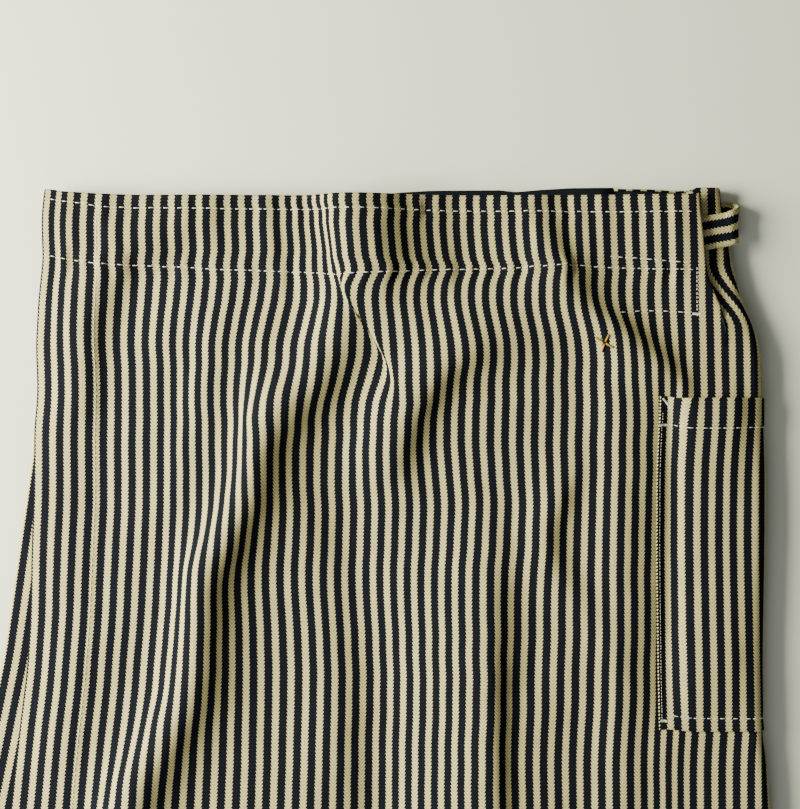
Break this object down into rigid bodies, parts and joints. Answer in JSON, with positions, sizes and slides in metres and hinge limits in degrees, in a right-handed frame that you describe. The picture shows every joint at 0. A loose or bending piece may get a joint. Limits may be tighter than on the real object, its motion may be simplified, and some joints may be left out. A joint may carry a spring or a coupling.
{
  "type": "butcher apron",
  "caption": "Wrap-around waist apron of striped cotton drill, laid flat, with a waist facing, hip slit, tie and side patch pocket.",
  "frame": {"origin": "under the middle of the bounding box, on the surface the apron lies on", "axes": "+X to the wearer's left (the slit and pocket side), +Y up to the waist edge, +Z away from the surface it lies on"},
  "size_m": [0.61, 0.8, 0.0253],
  "materials": {
    "striped_cotton": "ecru and navy stripe herringbone cotton drill, matt",
    "navy_reverse": "navy reverse of the same cotton drill, matt",
    "tie_cotton": "lengthwise striped cotton tie, matt",
    "cream_thread": "cream polyester-cotton sewing thread",
    "mustard_thread": "mustard embroidery thread, slight sheen"
  },
  "bodies": {
    "garment": {"back_bottom_hem": "navy_reverse", "back_panel": "striped_cotton", "back_waist_facing": "navy_reverse", "front_bottom_hem": "navy_reverse", "front_bottom_hem_stitch": "cream_thread", "front_lower_waist_stitch": "cream_thread", "front_panel": "striped_cotton", "front_upper_waist_stitch": "cream_thread", "front_waist_facing": "navy_reverse", "inner_wrap_bottom_hem": "navy_reverse", "inner_wrap_edge_hem": "navy_reverse", "inner_wrap_panel": "striped_cotton", "inner_wrap_waist_facing": "navy_reverse", "left_side_fold": "striped_cotton", "pocket_corner_bartack": "cream_thread", "pocket_edge_stitch": "cream_thread", "pocket_foot_bartack": "cream_thread", "pocket_foot_stitch": "cream_thread", "pocket_front": "striped_cotton", "pocket_mouth_bartack": "cream_thread", "pocket_mouth_hem": "navy_reverse", "pocket_mouth_stitch": "cream_thread", "pocket_side": "striped_cotton", "right_side_fold": "striped_cotton", "right_waist_fold": "striped_cotton", "side_band": "striped_cotton", "side_band_facing": "navy_reverse", "side_panel": "striped_cotton", "slit_edge_stitch": "cream_thread", "slit_foot_bartack": "cream_thread", "slit_patch": "navy_reverse", "slit_patch_stitch": "cream_thread", "stitched_mark": "mustard_thread", "tie": "tie_cotton"},
    "wrap_flap": {"flap_bottom_hem_stitch": "cream_thread", "flap_edge_hem_stitch": "cream_thread", "flap_lower_waist_stitch": "cream_thread", "flap_upper_waist_stitch": "cream_thread", "front_flap_bottom_hem": "navy_reverse", "front_flap_edge_hem": "navy_reverse", "front_flap_panel": "striped_cotton", "front_flap_waist_facing": "navy_reverse"}
  },
  "joints": [
    {"name": "wrap_flap_open", "type": "hinge", "parent": "garment", "child": "wrap_flap", "pos_m": [0.15, 0, 0.034], "axis": [0, 1, 0], "range_deg": [0, 165]}
  ]
}
